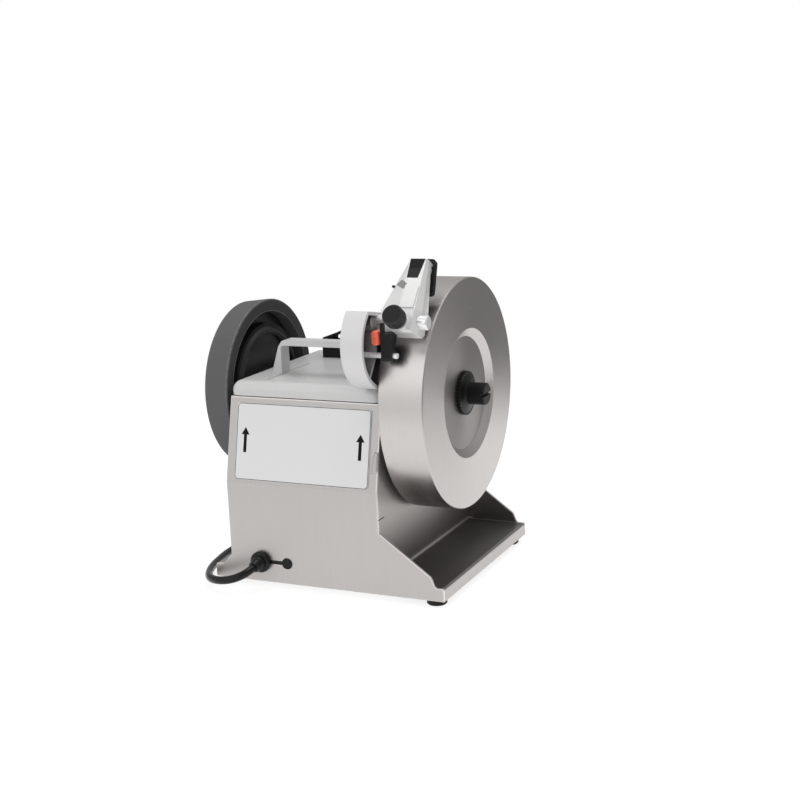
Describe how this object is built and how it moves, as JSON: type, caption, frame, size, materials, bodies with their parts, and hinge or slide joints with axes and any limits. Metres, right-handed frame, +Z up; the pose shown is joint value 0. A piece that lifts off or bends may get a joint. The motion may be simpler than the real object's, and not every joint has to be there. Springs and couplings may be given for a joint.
{
  "type": "knife grinding machine",
  "caption": "Bench machine for knives: steel grinding wheel with a leaning blade guide, honing wheel, folded steel housing with dust tray and cast lid with handle.",
  "frame": {"origin": "on the floor, at the middle of the machine's bounding box without its mains lead", "axes": "+X along the shaft towards the grinding wheel, +Y to the rear, +Z up; the panel with the name plate faces -Y"},
  "size_m": [0.2563, 0.3632, 0.2832],
  "materials": {
    "housing_steel": "warm grey brushed stainless sheet",
    "screw_steel": "bright turned steel",
    "lid_paint": "silver grey satin paint on a casting",
    "arm_paint": "pale grey satin paint on a casting",
    "plate_face": "near white matt plate",
    "wheel_steel": "circularly brushed steel",
    "tyre_composite": "matt dark grey composite",
    "black_plastic": "black satin plastic",
    "black_rubber": "black rubber",
    "guide_metal": "satin cast aluminium",
    "bar_chrome": "polished chrome",
    "button_red": "red plastic",
    "bush_bronze": "bronze and brass",
    "lamination_steel": "dark laminated steel",
    "winding_copper": "varnished copper wire",
    "cream_plastic": "cream plastic"
  },
  "bodies": {
    "base": {"front_panel": "housing_steel", "rear_panel": "housing_steel", "right_wall": "housing_steel", "left_wall": "housing_steel", "bottom_cover": "housing_steel", "bottom_screws": "screw_steel", "top_casting": "lid_paint", "name_plate": "plate_face", "rubber_feet": "black_rubber", "foot_screws": "screw_steel", "shaft_bush_right": "bush_bronze", "shaft_bush_left": "bush_bronze", "motor_stator": "lamination_steel", "motor_winding": "winding_copper", "motor_cap_left": "guide_metal", "motor_cap_right": "guide_metal", "motor_screws": "screw_steel", "run_capacitor": "cream_plastic", "capacitor_clip": "screw_steel", "terminal_block": "cream_plastic", "switch_box": "black_plastic", "guide_arm": "arm_paint", "arm_screws": "screw_steel", "support_bar": "bar_chrome", "cord_gland": "black_plastic", "keyhole_plug": "black_plastic", "power_cord": "black_rubber", "cord_coil": "black_rubber", "cord_tie": "black_plastic", "mains_plug": "black_plastic", "plug_pins": "bush_bronze"},
    "spindle": {"main_shaft": "screw_steel", "wheel_collar": "screw_steel", "grinding_wheel": "wheel_steel", "honing_tyre": "tyre_composite", "drive_wheel": "black_plastic", "friction_ring": "black_rubber", "honing_washer": "screw_steel", "honing_nut": "screw_steel"},
    "lock_nut": {"wheel_lock_nut": "black_plastic"},
    "rotor": {"rotor_core": "lamination_steel", "motor_shaft": "screw_steel", "drive_roller": "screw_steel", "cooling_fan": "black_plastic"},
    "paddle": {"switch_paddle": "black_plastic"},
    "guide": {"guide_body": "guide_metal", "front_cushion": "black_rubber", "jaw_pin": "screw_steel", "jaw_spring": "screw_steel", "tilt_bracket": "black_plastic", "index_pin": "screw_steel"},
    "jaw": {"rear_jaw": "guide_metal", "rear_cushion": "black_rubber"},
    "knob": {"clamp_knob": "black_plastic"},
    "button": {"release_button": "button_red"}
  },
  "joints": [
    {"name": "spindle_spin", "type": "hinge", "parent": "base", "child": "spindle", "pos_m": [0.05685, 0.009, 0.161], "axis": [1, 0, 0], "continuous": true},
    {"name": "rotor_spin", "type": "hinge", "parent": "base", "child": "rotor", "pos_m": [0.05685, 0.009, 0.10115], "axis": [1, 0, 0], "continuous": true},
    {"name": "lock_nut_turn", "type": "hinge", "parent": "spindle", "child": "lock_nut", "pos_m": [0.09715, 0.009, 0.161], "axis": [1, 0, 0], "range_deg": [0, 180]},
    {"name": "paddle_press", "type": "hinge", "parent": "base", "child": "paddle", "pos_m": [-0.05695, 0.009, 0.1961], "axis": [0, 1, 0], "range_deg": [0, 22], "stiffness_Nm_per_rad": 0.2, "springref_deg": -5.73},
    {"name": "guide_tilt", "type": "hinge", "parent": "base", "child": "guide", "pos_m": [0.05685, -0.075, 0.2357], "axis": [1, 0, 0], "range_deg": [0, 8]},
    {"name": "jaw_open", "type": "hinge", "parent": "guide", "child": "jaw", "pos_m": [0.08285, -0.03518, 0.27414], "axis": [1, 0, 0], "range_deg": [0, 6], "stiffness_Nm_per_rad": 0.05, "springref_deg": -17.19, "deforming": ["jaw_spring"]},
    {"name": "knob_turn", "type": "hinge", "parent": "guide", "child": "knob", "pos_m": [0.08325, -0.09758, 0.24486], "axis": [0, -0.848, 0.5299], "range_deg": [0, 180]},
    {"name": "button_press", "type": "slide", "parent": "guide", "child": "button", "axis": [0, 1, 0], "range_m": [0, 0.0025], "stiffness_N_per_m": 300, "springref_m": -0.003}
  ],
  "couplings": [
    {"joint": "rotor_spin", "follows": "spindle_spin", "ratio": -11.957}
  ]
}
